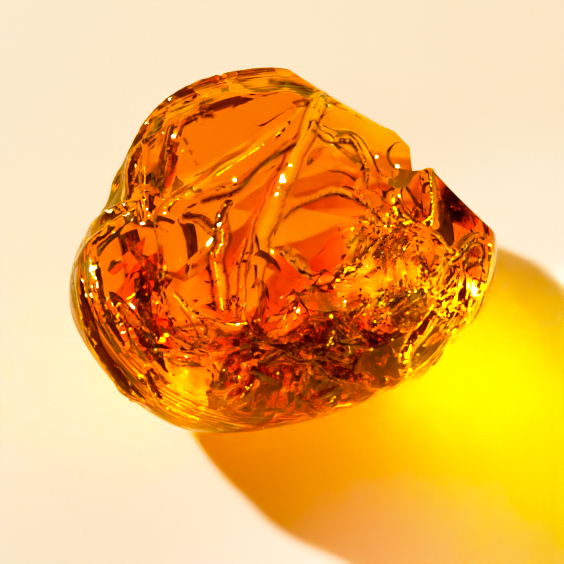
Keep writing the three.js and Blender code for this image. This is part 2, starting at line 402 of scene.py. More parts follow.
# Painted shade: dark lines drawn into the amber's colour.
PAINTED_SHADE_LINES = {
    "under the band": (0.35, 1.0, (207, 205), (235, 194), (250, 183), (263, 167), (294, 147)),
    "bowl rim": (0.2, 1.0, (268, 255), (273, 234), (288, 217), (311, 203), (345, 198), (385, 228)),
    "upper right step": (0.2, 1.0, (312, 133), (325, 143), (350, 147), (358, 162), (366, 190)),
    "left step": (0.12, 0.8, (158, 215), (163, 250), (168, 290), (180, 330)),
    "left of the ridge": (
        0.12, 0.9, (312, 98), (297, 133), (281, 166), (266, 198), (254, 235), (247, 280), (248, 318),
    ),
    "right of the ridge": (
        0.12, 0.9, (328, 102), (314, 138), (300, 170), (286, 202), (273, 236), (266, 270), (262, 300),
    ),
    "beside the ridge": (0.12, 0.9, (248, 240), (239, 285), (241, 320)),
    "wedge": (0.5, 0.9, (173, 130), (168, 150), (163, 172)),
    "foot of the wedge": (0.9, 0.9, (160, 172), (162, 190)),
    "bowl wall": (0.15, 0.8, (152, 115), (150, 165), (150, 205)),
    "inner left rim": (0.25, 0.9, (84, 258), (90, 290), (102, 325), (120, 355), (137, 377)),
    "outer left rim": (0.15, 0.9, (68, 265), (72, 295), (84, 335), (104, 370), (135, 395)),
    "left of the thin ridge": (0.25, 0.9, (216, 232), (217, 245), (211, 262), (215, 288), (220, 308)),
    "right of the thin ridge": (0.22, 0.9, (229, 215), (231, 240), (227, 262), (230, 288), (232, 308)),
    "horn": (0.35, 1.0, (187, 219), (203, 221), (214, 229), (222, 222), (230, 205)),
    "top edge": (0.45, 1.0, (270, 77), (285, 81), (300, 83), (312, 86)),
    "block": (0.2, 1.0, (432, 172), (455, 193), (478, 217), (484, 238)),
    "hollow of the block": (0.2, 1.0, (450, 262), (466, 246), (480, 246), (478, 262), (460, 272)),
    "under the notch": (0.2, 0.9, (395, 198), (405, 218), (428, 232), (443, 248)),
    "dark facet": (0.45, 0.9, (386, 326), (400, 306), (418, 292)),
    "long facet": (0.3, 0.9, (303, 294), (318, 287), (330, 308), (346, 346)),
    "low facet": (0.5, 0.8, (350, 362), (372, 350), (392, 340)),
    "upper crumbs": (0.2, 0.9, (352, 262), (365, 250), (380, 238)),
    "middle crumbs": (0.3, 0.9, (372, 262), (388, 250), (402, 240)),
    "first speck": (0.15, 1.0, (186, 141), (189, 147)),
    "second speck": (0.12, 1.0, (192, 153), (194, 157)),
    "third speck": (0.1, 1.0, (197, 163), (199, 168)),
    "upper fleck": (0.3, 1.0, (202, 106), (212, 102)),
    "lower fleck": (0.3, 1.0, (204, 119), (214, 117)),
    "top of the upper bowl": (0.15, 1.0, (170, 110), (182, 104), (196, 100)),
    "under the lip": (0.3, 0.9, (176, 330), (200, 322), (228, 332)),
    "low middle": (0.3, 0.9, (245, 345), (262, 335), (285, 345)),
    "lowest": (0.25, 0.9, (290, 395), (330, 372), (380, 365)),
}

# Splinters that still stick in the crushed places. A group is given by how many there are, the middle and
# the reach of its place in the picture, the way the splinters lie and how much that varies, in degrees,
# their half length in pixels, and the shares with a crest of painted highlight and with a foot of painted
# shade. A painted crest and a painted foot have the width and the strength of a line, and the foot lies
# FOOT_DISTANCE pixels away.
SPLINTER_SEED = 3
SPLINTER_GROUPS = {
    "low middle": (18, (305, 370), (65, 36), 25, 50, (9, 24), 0.4, 0.6),
    "under the lip": (12, (190, 325), (65, 32), -20, 40, (9, 24), 0.4, 0.6),
    "low left": (8, (140, 385), (30, 20), -40, 20, (8, 18), 0.5, 0.5),
    "crushed place": (14, (388, 270), (44, 46), 60, 50, (8, 22), 0.8, 0.7),
    "right": (5, (440, 300), (35, 30), 30, 40, (8, 20), 0.6, 0.5),
}
# Width and strength of a splinter's painted highlight line and of its painted shade line.
SPLINTER_HIGHLIGHT_LINE = (0.12, 1.0)
SPLINTER_SHADE_LINE = (0.14, 0.9)
FOOT_DISTANCE = 2.5


def splinters(count, middle, spread, way, bent, half_length, highlight_share, shade_share):
    """The ridges of one group, with lines of painted highlight on some crests and of painted shade at some
    feet.
    """
    ridges, crests, feet = [], [], []
    for _ in range(count):
        turn, reach = random.uniform(0, 2 * math.pi), math.sqrt(random.random())
        x = middle[0] + spread[0] * reach * math.cos(turn)
        y = middle[1] + spread[1] * reach * math.sin(turn)
        run = random.uniform(*half_length)
        slope = math.radians(random.gauss(way, bent))
        across, down = run * math.cos(slope), -run * math.sin(slope)
        bow = random.uniform(-0.15, 0.15)
        stops = [(x - across, y - down), (x + bow * down, y - bow * across), (x + across, y + down)]
        height, steep_left = random.uniform(0.35, 0.8), random.random() < 0.5
        wide, narrow = random.uniform(0.6, 1.0), random.uniform(0.3, 0.45)
        left, right = (wide, narrow) if steep_left else (narrow, wide)
        ridges.append([(*stop, rise, left, right) for stop, rise in zip(stops, (0.1, height, 0.1))])
        if random.random() < highlight_share:
            crests.append((*SPLINTER_HIGHLIGHT_LINE, *stops))
        if random.random() < shade_share:
            aside = FOOT_DISTANCE if steep_left else -FOOT_DISTANCE
            foot = [(px - aside * math.sin(slope), py - aside * math.cos(slope)) for px, py in stops]
            feet.append((*SPLINTER_SHADE_LINE, *foot))
    return ridges, crests, feet


def drawn_line(stops):
    """Close points on a smooth curve through the stops."""
    stops = np.array(stops, dtype=float)
    held = np.concatenate((stops[:1], stops, stops[-1:]))
    pieces = []
    for before, start, end, after in zip(held, held[1:], held[2:], held[3:]):
        count = max(2, int(np.linalg.norm(end[:2] - start[:2]) / RIDGE_STEP))
        t = np.linspace(0, 1, count, endpoint=False)[:, None]
        bend = 2 * before - 5 * start + 4 * end - after + t * (3 * (start - end) + after - before)
        pieces.append(start + 0.5 * t * (end - before + t * bend))
    return np.concatenate(pieces + [stops[-1:]])


def wandering(flat):
    """Places on the face, shifted a little to and fro so that no line drawn on them is quite even."""
    a, b = flat[:, 0], flat[:, 1]
    aside = WANDER * np.sin(1.3 * b + 0.6 * a) + FINE_WANDER * np.sin(5.1 * b - 2.1 * a)
    upwards = WANDER * np.sin(1.5 * a - 0.5 * b) + FINE_WANDER * np.sin(5.7 * a + 1.3 * b)
    return flat[:, :2] + np.stack((aside, upwards), axis=1)


def nearest_on(line, place):
    """For each place, the row of the line's nearest piece, the share along it and the way from it."""
    along = line[1:, :2] - line[:-1, :2]
    offset = place[:, None] - line[None, :-1, :2]
    share = np.clip((offset * along).sum(axis=-1) / (along**2).sum(axis=-1), 0, 1)
    gap = offset - share[..., None] * along
    row = np.linalg.norm(gap, axis=-1).argmin(axis=1)
    each = np.arange(len(place))
    return row, share[each, row], gap[each, row]


def relief(flat, lines):
    """How far the lines lift each point of the face, and how fine the faces there have to be."""
    rise, fine = np.zeros(len(flat)), np.full(len(flat), np.inf)
    place = wandering(flat)
    before_rim = flat[:, 2] + RIM_SLANT * flat[:, 1]
    for line in lines:
        widest = line[:, 3:].max()
        low, high = line[:, :2].min(axis=0) - widest, line[:, :2].max(axis=0) + widest
        close = np.flatnonzero(((place > low) & (place < high)).all(axis=1) & (before_rim > 0))
        if len(close) == 0:
            continue
        row, share, gap = nearest_on(line, place[close])
        distance = np.linalg.norm(gap, axis=1)
        stop = line[row] + share[:, None] * (line[row + 1] - line[row])
        along = line[row + 1, :2] - line[row, :2]
        left = along[:, 0] * gap[:, 1] > along[:, 1] * gap[:, 0]
        width = np.where(left, stop[:, 3], stop[:, 4])
        lift = stop[:, 2] * np.clip(1 - (distance / width) ** 2, 0, 1) ** 2
        rise[close] = np.where(np.abs(lift) > np.abs(rise[close]), lift, rise[close])
        needed = np.where(distance < 1.1 * width, np.maximum(FACE_SHARE * width, FINEST_FACE), np.inf)
        fine[close] = np.minimum(fine[close], needed)
    return rise * np.clip((before_rim - RIM_GAP) / RIM_FADE, 0, 1), fine


def face_place(pixels):
    """Millimetres across and up the face of a place in the picture, which shows its middle at FACE_PIXEL."""
    return (np.array(pixels, dtype=float) - FACE_PIXEL) * (1, -1) / PIXELS_PER_MM


def on_the_face(stops):
    """A drawn line on the face. Where a stop has one width, it is that of both sides."""
    stops = np.array([(*stop, stop[-1])[:5] if len(stop) > 2 else stop for stop in stops], dtype=float)
    stops[:, :2] = face_place(stops[:, :2])
    return drawn_line(stops)


random.seed(SPLINTER_SEED)
ridges = list(RIDGES.values())
painted_light_lines = list(PAINTED_LIGHT_LINES.values())
painted_shade_lines = list(PAINTED_SHADE_LINES.values())
splinter_crests = []
for group in SPLINTER_GROUPS.values():
    group_ridges, crests, feet = splinters(*group)
    ridges += group_ridges
    painted_light_lines += crests
    painted_shade_lines += feet
    splinter_crests += crests
drawn = [on_the_face(stops) for stops in ridges]
# The faces under the lines of painted light and painted shade are made fine as well, with no lift.
for width, _strength, *stops in painted_light_lines + painted_shade_lines:
    reach = LINE_MARGIN * width
    drawn.append(on_the_face([(x, y, 0, reach, reach) for x, y in stops]))

pick(lump)
for _ in range(REFINEMENTS):
    bpy.ops.object.mode_set(mode="EDIT")
    bpy.ops.mesh.select_mode(type="FACE")
    bpy.ops.mesh.select_all(action="DESELECT")
    bpy.ops.object.mode_set(mode="OBJECT")
    faces = lump.data.polygons
    middles, areas = np.empty(len(faces) * 3), np.empty(len(faces))
    faces.foreach_get("center", middles)
    faces.foreach_get("area", areas)
    _rise, fine = relief(middles.reshape(-1, 3) @ FACE.T / MM, drawn)
    faces.foreach_set("select", np.sqrt(2 * areas) / MM > fine)
    bpy.ops.object.mode_set(mode="EDIT")
    bpy.ops.mesh.subdivide(number_cuts=1)
    bpy.ops.mesh.select_all(action="SELECT")
    bpy.ops.mesh.quads_convert_to_tris()
    bpy.ops.object.mode_set(mode="OBJECT")
lump_points = points_of(lump)
facing = np.empty(len(lump_points) * 3)
lump.data.vertex_normals.foreach_get("vector", facing)
facing = facing.reshape(-1, 3) + OUT
facing /= np.maximum(np.linalg.norm(facing, axis=1), 0.5)[:, None]
rise, _fine = relief(lump_points @ FACE.T / MM, drawn)
move_points(lump, lump_points + rise[:, None] * MM * facing)
scar(4.2, 0.6, 5.4, (11, 10), **RIGHT_BOWL)
scar(-0.2, -3.6, 4.4, (9, 4), **SMALL_BOWL)
take_off_cutters()

# The crushed places. Where the amber was crushed rather than split, small chips are gone at all
# angles: some leave flat sides, some a shell-shaped floor. A chip is a squashed and drawn-out block or
# ball, sunk a little way in, and it lies either anywhere in a place or along a sharp edge.
CHIP_SEED = 7
FORMS = 6
LOOK_FROM = 60
DOWN = np.array((0.0, 0.0, -1.0))
BACKWARDS = np.array((0.0, 1.0, 0.0))
SHARP = 16
random.seed(CHIP_SEED)


def surface_tree():
    return BVHTree.FromObject(lump, bpy.context.evaluated_depsgraph_get())


def on_surface(surface, look, first, second, a, b):
    """The place and the facing of the surface met from outside, against the way that is looked."""
    start = Vector((a * first + b * second + LOOK_FROM * look) * MM)
    place, facing, _face, _far = surface.ray_cast(start, Vector(-look))
    return place, facing


def chip_form(fineness, least, most=1.1):
    """The mesh and the points of a ball whose corners are knocked in and out at random."""
    blank = new_ball("chip", fineness)
    knocks = np.array([random.uniform(least, most) for _ in blank.data.vertices])
    form = (blank.data, points_of(blank) * knocks[:, None])
    bpy.data.objects.remove(blank)
    return form


blocks = [chip_form(1, 0.78) for _ in range(FORMS)]
shells = [chip_form(3, 1.1)]


def cutter_like(name, mesh, points):
    piece = bpy.data.objects.new(name, mesh.copy())
    move_points(piece, points)
    cutters.objects.link(piece)


def chip(place, facing, size, bite, drawn_out, squashed, grain=None, blocky=0.5):
    """Takes off a chip. The grain is the way that it lies and how much that varies, in degrees."""
    pitch, roll = (random.uniform(0, 2 * math.pi) for _ in range(2))
    tumble = np.array((
        (1, 0, 0), (0, math.cos(pitch), -math.sin(pitch)), (0, math.sin(pitch), math.cos(pitch)),
    ))
    spin = np.array((
        (math.cos(roll), -math.sin(roll), 0), (math.sin(roll), math.cos(roll), 0), (0, 0, 1),
    ))
    form, points = random.choice(blocks if random.random() < blocky else shells)
    points = points @ (tumble @ spin).T * (size * drawn_out, size, size * squashed)
    if grain is None:
        turn = random.uniform(0, 2 * math.pi)
    else:
        turn = math.radians(random.gauss(*grain))
    length = np.cross(np.cross(facing, math.cos(turn) * ALONG + math.sin(turn) * UP), facing)
    length /= np.linalg.norm(length)
    points = points @ np.array((length, np.cross(facing, length), facing))
    points += place - (points @ facing).min() * facing - bite * facing
    cutter_like("chip", form, points)


def tilted(normal, lean):
    facing = np.array(normal) + [random.gauss(0, lean) for _ in range(3)]
    return facing / np.linalg.norm(facing)


def somewhere(middle, spread):
    """Any place in an ellipse."""
    angle, reach = random.uniform(0, 2 * math.pi), math.sqrt(random.random())
    across, along = spread[0] * reach * math.cos(angle), spread[1] * reach * math.sin(angle)
    return middle[0] + across, middle[1] + along


def crush(look, middle, spread, count, size, **how):
    surface = surface_tree()
    second = BACKWARDS if look is DOWN else UP
    for _ in range(count):
        place, normal = on_surface(surface, look, ALONG, second, *somewhere(middle, spread))
        radius = (size[0] + (size[1] - size[0]) * random.random() ** 2) * MM
        if place is not None:
            facing = tilted(normal, 0.25)
            depth = random.uniform(0.15, 0.4) * radius
            shape = random.uniform(1, 3), random.uniform(0.25, 0.7)
            chip(np.array(place), facing, radius, depth, *shape, **how)


def sharp_edges():
    mesh = bmesh.new()
    mesh.from_mesh(lump.data)
    found = []
    for edge in mesh.edges:
        if edge.calc_face_angle_signed(0) > math.radians(SHARP):
            facing = (edge.link_faces[0].normal + edge.link_faces[1].normal).normalized()
            middle = (edge.verts[0].co + edge.verts[1].co) / 2
            found.append((*middle, *facing, edge.calc_length()))
    mesh.free()
    return np.array(found)


def chip_along(edges, count, size, reach, *line):
    """Chips where the sharp edges run within reach of a line on the face, all in millimetres."""
    flat = edges[:, :3] @ FACE.T[:, :2] / MM
    _row, _share, gap = nearest_on(np.array(line, dtype=float), flat)
    weight = edges[:, 6] * (np.linalg.norm(gap, axis=1) < reach) * (edges[:, 3:6] @ OUT > 0)
    if weight.sum() == 0:
        return
    for row in random.choices(range(len(edges)), weight, k=count):
        radius = random.uniform(*size) * MM
        facing = tilted(edges[row, 3:6], 0.35)
        depth = random.uniform(0.15, 0.35) * radius
        shape = random.uniform(1, 2.5), random.uniform(0.4, 0.8)
        chip(edges[row, :3], facing, radius, depth, *shape)


arrises = sharp_edges()
chip_along(arrises, 12, (0.3, 0.9), 1.2, (-8.3, 15.7), (-10.5, 12.5), (-9.4, 9.3))
chip_along(arrises, 30, (0.15, 0.4), 0.9, (-6.5, 2.9), (-6.7, -4.1))
chip_along(arrises, 10, (0.3, 0.9), 1.2, (-9.9, -6.2), (-2.2, -7.5))
chip_along(arrises, 10, (0.3, 0.9), 1.4, (5.6, 6.0), (6.6, 6.1), (10.9, 2.9))
chip_along(arrises, 10, (0.3, 0.9), 1.4, (2.4, 10.9), (6.1, 10.1), (8.8, 6.6))
chip_along(arrises, 14, (0.4, 1.0), 1.6, (-14.2, 5.0), (-18.5, 3.2), (-21.7, 0.7))
chip_along(arrises, 30, (0.3, 0.8), 1.8, (-16, 14.6), (-11.5, 17.3), (-4, 19.7))
chip_along(arrises, 20, (0.4, 1.2), 2.0, (10.9, 5.6), (14, 0), (16.8, -5))
crush(OUT, (10.5, -0.5), (4.0, 4.0), 12, (0.3, 0.9), blocky=0.7)
crush(OUT, (-9.8, 15.2), (1.8, 1.2), 12, (0.2, 0.6), blocky=0.6)
crush(DOWN, (2.0, -4.2), (9, 5.0), 50, (0.5, 2.2), grain=(20, 50))
crush(-OUT, (13.0, 0.0), (6, 8), 8, (1.0, 2.8), blocky=0.4)

# The inner cracks, which never reached the face. Each is a very thin gap that turns the light back, so
# that it looks dark or red. The small ones are ragged flakes that lie anywhere in a place. The large
# ones, the splits, are drawn: a split has the depth of its middle in millimetres, the angle and the way
# that it leans, in degrees, its hollow and its corners in the picture.
CRACK_WIDTH, CRACK_WAVE = 0.02, 0.03
SPLIT_WIDTH, SPLIT_WAVE = 0.03, 0.04
SPLITS = {
    "upper left facet": (1.5, 50, 45, 0.02, (145, 115), (165, 113), (168, 125), (155, 150), (146, 157)),
    "wedge": (
        1.8, 50, 45, 0.02, (172, 130), (182, 128), (176, 160), (172, 190), (165, 197), (153, 178),
    ),
    "horn": (
        2.0, 50, 45, 0.0, (187, 219), (202, 221), (216, 230), (230, 205), (228, 226), (220, 258),
        (214, 238), (200, 226),
    ),
    "left step": (
        2.0, 50, 45, 0.03, (160, 270), (178, 274), (205, 250), (219, 262), (205, 276), (188, 284),
    ),
    "left block": (
        2.5, 50, 45, 0.02, (140, 280), (160, 278), (163, 300), (169, 335), (162, 342), (150, 325),
        (142, 305),
    ),
    "left fleck": (2.0, 50, 45, 0.03, (130, 240), (142, 243), (158, 264), (153, 272), (138, 256)),
    "long facet": (
        2.5, 50, 45, 0.02, (305, 292), (316, 285), (336, 330), (346, 346), (322, 336), (308, 315),
    ),
    "right block": (
        2.5, 48, 45, 0.02, (430, 172), (455, 193), (478, 217), (468, 235), (446, 226), (434, 200),
    ),
    "hollow of the block": (2.0, 50, 60, 0.02, (455, 250), (478, 244), (479, 261), (460, 273)),
    "low right facet": (
        2.5, 55, 60, 0.04, (385, 312), (405, 290), (426, 284), (415, 310), (400, 336), (386, 332),
    ),
    "small bowl": (
        3.0, 52, 60, 0.02, (262, 250), (285, 248), (305, 262), (311, 285), (300, 280), (280, 262),
    ),
    "left patch": (1.5, 58, 300, 0.03, (120, 235), (150, 230), (155, 275), (135, 280)),
}


def flake_form():
    blank = new_ball("crack", 2)
    points = points_of(blank)
    way = np.arctan2(points[:, 1], points[:, 0])
    ragged = 1.0
    for waves in (2, 3, 5, 7):
        height, start = random.uniform(0.04, 0.22), random.uniform(0, 2 * math.pi)
        ragged = ragged + height * np.sin(waves * way + start)
    form = (blank.data, points * ragged[:, None])
    bpy.data.objects.remove(blank)
    return form


def crack(place, depth, size, drawn_out, steep, around, bend):
    sideways = math.cos(around) * ALONG + math.sin(around) * UP
    facing = math.cos(steep) * OUT + math.sin(steep) * sideways
    length = np.cross(facing, OUT)
    length /= np.linalg.norm(length)
    roll = random.uniform(0, math.pi)
    form, points = random.choice(flakes)
    x = points[:, 0] * math.cos(roll) - points[:, 1] * math.sin(roll)
    y = points[:, 0] * math.sin(roll) + points[:, 1] * math.cos(roll)
    points = np.stack((x * size * drawn_out, y * size, points[:, 2] * CRACK_WIDTH), axis=1)
    points[:, 2] += bend * (points[:, 0] ** 2 + points[:, 1] ** 2) / size
    points[:, 2] += CRACK_WAVE * size * np.sin(points[:, 0] * 5 / size + roll)
    turned = points @ np.array((length, np.cross(facing, length), facing))
    cutter_like("crack", form, (turned - depth * OUT) * MM + place)


def cracks(middle, spread, depth, count, size, steep=(35, 75), around=(0, 360)):
    for _ in range(count):
        place, _facing = on_surface(face, OUT, ALONG, UP, *somewhere(middle, spread))
        if place is not None:
            width = size[0] + (size[1] - size[0]) * random.random() ** 2
            lean, way = math.radians(random.uniform(*steep)), math.radians(random.uniform(*around))
            length, middle_depth = random.uniform(1, 2.5), random.uniform(*depth)
            bend = random.uniform(-0.15, 0.15)
            crack(np.array(place), middle_depth, width, length, lean, way, bend)


def split(depth, steep, around, hollow, *pixels):
    corners = face_place(pixels)
    middle = corners.mean(axis=0)
    bpy.ops.object.select_all(action="DESELECT")
    bpy.ops.mesh.primitive_cylinder_add(vertices=len(corners), depth=1)
    piece = bpy.context.object
    piece.name = "split"
    outline = np.repeat(corners - middle, 2, axis=0)
    move_points(piece, np.column_stack((outline, points_of(piece)[:, 2])))
    bpy.ops.object.mode_set(mode="EDIT")
    bpy.ops.mesh.select_all(action="SELECT")
    bpy.ops.mesh.quads_convert_to_tris()
    bpy.ops.mesh.subdivide(number_cuts=3)
    bpy.ops.object.mode_set(mode="OBJECT")
    points = points_of(piece)
    around, steep = math.radians(around), math.radians(steep)
    along = points[:, :2] @ (math.cos(around), math.sin(around))
    across = points[:, :2] @ (-math.sin(around), math.cos(around))
    place, _facing = on_surface(face, OUT, ALONG, UP, *middle)
    level = np.array(place) @ OUT / MM - depth - along * math.tan(steep)
    level += hollow * (across**2 + along**2) + SPLIT_WAVE * np.sin(across * 4 + along * 1.7)
    thick = points[:, 2] * SPLIT_WIDTH / math.cos(steep)
    move_points(piece, np.column_stack((points[:, :2] + middle, level + thick)) * MM @ FACE)
    make_cutter(piece)


flakes = [flake_form() for _ in range(FORMS)]
face = surface_tree()
for values in SPLITS.values():
    split(*values)
cracks((11.0, -3.0), (6, 6), (0.8, 4), 10, (0.8, 2.6), steep=(34, 50), around=(115, 165))
cracks((3.0, -11.5), (9, 4.5), (1.5, 7), 40, (0.6, 3.4))
cracks((-16.0, -8.5), (5, 7), (1.0, 3), 10, (0.4, 2.2), steep=(34, 50), around=(115, 165))
take_off_cutters()

# The glints. Here and there a tiny flat facet of a crest throws the light back: white from the large
# lamp, golden from a dim one. A facet is the end of a small block, sunk into the crest, that faces
# halfway between the lamp and the front.
GLINT_SEED = 11
GLINT_BITE = 0.3
GLINT_SHAPE = np.array((1.6, 0.7, 2.0))
GLINT_SPACING = 2.4
EYE_DISTANCE = 0.3
WHITE_LAMP = (math.radians(-119), math.radians(33), 2.0)
GOLD_LAMP = (math.radians(-35), math.radians(50), 0.5)

# Place in the picture and size in millimetres.
WHITE_GLINTS = (
    (283, 183, 0.35), (290, 168, 0.2), (277, 197, 0.22), (222, 226, 0.3), (224, 245, 0.2),
    (375, 158, 0.25), (395, 168, 0.25), (328, 107, 0.25), (97, 268, 0.5), (343, 300, 0.35),
    (385, 303, 0.25), (168, 95, 0.2), (241, 322, 0.2), (175, 138, 0.2), (242, 80, 0.2), (236, 74, 0.2),
    (455, 268, 0.2), (112, 212, 0.3), (130, 330, 0.25), (163, 345, 0.2), (147, 225, 0.2),
    (236, 183, 0.15), (340, 370, 0.2),
)

# Size in millimetres, the share of the facets that are there, and the crest's stops in the picture. A golden
# crest without stops follows the painted light line of its name.
WHITE_CRESTS = {
    "left rim": (0.3, 1.0, (92, 256), (98, 270), (104, 286)),
    "central ridge": (0.12, 0.7, (285, 172), (277, 195), (270, 212)),
}
GOLD_CRESTS = {
    "under the notch": (0.28, 1.0),
    "block": (0.18, 1.0),
    "crushed place": (
        0.34, 1.0, (443, 257), (424, 272), (408, 292), (395, 306), (377, 320), (359, 335), (346, 337),
    ),
    "fork": (0.26, 1.0),
    "right arm": (0.24, 1.0, (487, 240), (473, 240), (459, 249), (443, 263), (415, 281)),
    "upper spike": (0.28, 1.0),
    "left spike": (0.2, 1.0),
    "right rim": (0.3, 1.0, (474, 252), (482, 280), (477, 308), (465, 326)),
    "hook": (0.34, 1.0, (368, 262), (380, 275), (372, 290), (366, 300)),
    "edge of the bowl": (0.34, 1.0, (384, 210), (386, 224), (400, 236)),
    "low loop": (0.2, 1.0, (440, 300), (415, 330), (400, 355), (402, 370), (420, 370), (445, 350)),
    "middle crumbs": (0.28, 1.0, (390, 240), (402, 252), (400, 268)),
    "lip": (0.14, 1.0),
    "thin ridge": (0.16, 1.0, (222, 225), (225, 240), (218, 260), (221, 285), (226, 310)),
    "left rim": (0.12, 0.6, (72, 268), (78, 290), (90, 322), (108, 355), (122, 375)),
    "band edge": (0.12, 0.6, (165, 213), (200, 190), (245, 160), (280, 135)),
    "bowl wall": (0.12, 0.7, (142, 150), (147, 175), (148, 205)),
    "top of the upper bowl": (0.12, 0.7, (165, 130), (175, 110), (190, 96), (210, 92)),
    "low left patch": (0.14, 0.5, (176, 372), (200, 362), (236, 368), (250, 385)),
}
SPLINTER_GLINT = (0.13, 0.7)


def towards(azimuth, elevation):
    """The way to a lamp: azimuth 0 is in front, 90 on the right."""
    level = math.cos(elevation)
    return np.array((math.sin(azimuth) * level, -math.cos(azimuth) * level, math.sin(elevation)))


def glint(x, y, size, lamp, turn, corners):
    place, _facing = on_surface(face, OUT, ALONG, UP, *face_place((x, y)))
    if place is None:
        return
    azimuth, elevation, distance = lamp
    to_lamp = distance * towards(azimuth, elevation) - np.array(place)
    to_eye = EYE_DISTANCE * OUT - np.array(place)
    facing = to_lamp / np.linalg.norm(to_lamp) + to_eye / np.linalg.norm(to_eye)
    facing /= np.linalg.norm(facing)
    first = math.cos(turn) * ALONG + math.sin(turn) * UP
    first -= first @ facing * facing
    first /= np.linalg.norm(first)
    bpy.ops.object.select_all(action="DESELECT")
    bpy.ops.mesh.primitive_cylinder_add(vertices=corners, depth=1, radius=1)
    piece = bpy.context.object
    piece.name = "glint"
    points = points_of(piece) * (GLINT_SHAPE * size) + (0, 0, size * (1 - GLINT_BITE))
    turned = points * MM @ np.array((first, np.cross(facing, first), facing))
    move_points(piece, turned + np.array(place))
    make_cutter(piece)


def bright_crest(lamp, size, share, *stops):
    line = drawn_line(np.column_stack((stops, stops)))[:, :2]
    seen = [line[0]]
    spacing = GLINT_SPACING * size * PIXELS_PER_MM
    for x, y in line:
        if math.dist((x, y), seen[-1]) > spacing * random.uniform(0.7, 1.6):
            seen.append((x, y))
    for before, (x, y) in zip(seen, seen[1:]):
        if random.random() < share:
            way = math.atan2(before[1] - y, x - before[0])
            glint(x, y, size * random.uniform(0.6, 1.2), lamp, way + random.uniform(-0.3, 0.3), 4)


random.seed(GLINT_SEED)
face = surface_tree()
for x, y, size in WHITE_GLINTS:
    glint(x, y, size, WHITE_LAMP, random.uniform(-0.4, 0.4), random.choice((4, 5, 12)))
for values in WHITE_CRESTS.values():
    bright_crest(WHITE_LAMP, *values)
for name, (size, share, *stops) in GOLD_CRESTS.items():
    bright_crest(GOLD_LAMP, size, share, *stops or PAINTED_LIGHT_LINES[name][2:])
for _width, _strength, *stops in splinter_crests:
    bright_crest(GOLD_LAMP, *SPLINTER_GLINT, *stops)
take_off_cutters()

# The finished lump. All its faces are three-sided, the middle of its bounding box's floor is moved to the
# origin, and it is smooth but for its sharp edges.
ARRIS_ANGLE = math.radians(20)
pick(lump)
bpy.ops.object.mode_set(mode="EDIT")
bpy.ops.mesh.select_all(action="SELECT")
bpy.ops.mesh.quads_convert_to_tris()
bpy.ops.object.mode_set(mode="OBJECT")
lump_points = points_of(lump)
low, high = lump_points.min(axis=0), lump_points.max(axis=0)
nodule_middle = -np.array(((low[0] + high[0]) / 2, (low[1] + high[1]) / 2, low[2]))
move_points(lump, lump_points + nodule_middle)
bpy.ops.object.shade_smooth_by_angle(angle=ARRIS_ANGLE)

# The play of the light inside, painted into the amber's colour. Light that is turned back many times between
# the cracks comes out golden or almost black: those places of painted light and painted shade are kept on
# the surface as values from 0 to 1, which the amber's colour follows. A spot or a patch is given by its
# place and its reach in the picture and by its strength.
# Painted light: patches where the amber's colour is lightened.
PAINTED_LIGHT_PATCHES = (
    (330, 235, 60, 0.18), (355, 115, 45, 0.3), (400, 145, 40, 0.3), (205, 385, 45, 0.25),
    (430, 345, 40, 0.8), (385, 265, 45, 0.2), (225, 245, 50, 0.15),
)
# Painted highlights: golden spots in the colour that stand in for glints.
PAINTED_HIGHLIGHT_SPOTS = (
    (385, 270, 45, 0.9), (365, 245, 20, 0.6), (208, 390, 34, 1.0), (425, 345, 30, 0.8),
    (96, 270, 9, 1.0), (186, 108, 8, 0.9), (365, 295, 9, 1.0), (384, 218, 7, 1.0), (402, 224, 9, 1.0),
    (419, 242, 9, 1.0), (120, 215, 20, 0.4), (372, 160, 10, 0.9), (395, 167, 8, 0.9),
    (328, 107, 6, 0.9),
)
# Painted shade: spots where the amber's colour is darkened, up to almost black.
PAINTED_SHADE_SPOTS = (
    (155, 135, 13, 0.9), (290, 288, 22, 0.5), (149, 284, 9, 1.0), (152, 300, 10, 1.0),
    (157, 315, 9, 1.0), (162, 330, 7, 1.0), (450, 205, 20, 0.9), (206, 110, 7, 0.9),
    (410, 210, 12, 0.5), (467, 257, 10, 0.8), (405, 308, 16, 0.6), (310, 350, 25, 0.4),
    (340, 375, 20, 0.3), (130, 355, 12, 0.5), (200, 330, 14, 0.4), (145, 250, 10, 0.4),
    (175, 280, 12, 0.6), (205, 270, 8, 0.5), (385, 245, 9, 0.9), (402, 255, 7, 0.8), (350, 262, 8, 0.9),
    (372, 252, 8, 0.9), (352, 303, 12, 0.8), (375, 332, 14, 0.8), (415, 262, 7, 0.6),
    (448, 225, 12, 0.7), (440, 335, 8, 0.5), (388, 300, 8, 0.8), (425, 275, 7, 0.8),
)
CRUMBLED_SPOTS = (
    (388, 275, 45, 1.0), (360, 315, 25, 0.7), (300, 370, 40, 0.5), (345, 385, 30, 0.5),
    (150, 340, 22, 0.4), (205, 335, 22, 0.4), (205, 385, 30, 0.2), (425, 330, 20, 0.4),
)


def spots(places):
    """The sum of the spots at each point. A spot is full to 0.75 of its reach and gone at 1.25."""
    seen = flat[:, :2] * (PIXELS_PER_MM, -PIXELS_PER_MM) + FACE_PIXEL
    total = np.zeros(len(flat))
    for x, y, reach, strength in places:
        away = np.linalg.norm(seen - (x, y), axis=1) / reach
        total += strength * np.clip(1.25 - away, 0, 0.5) * 2
    return total


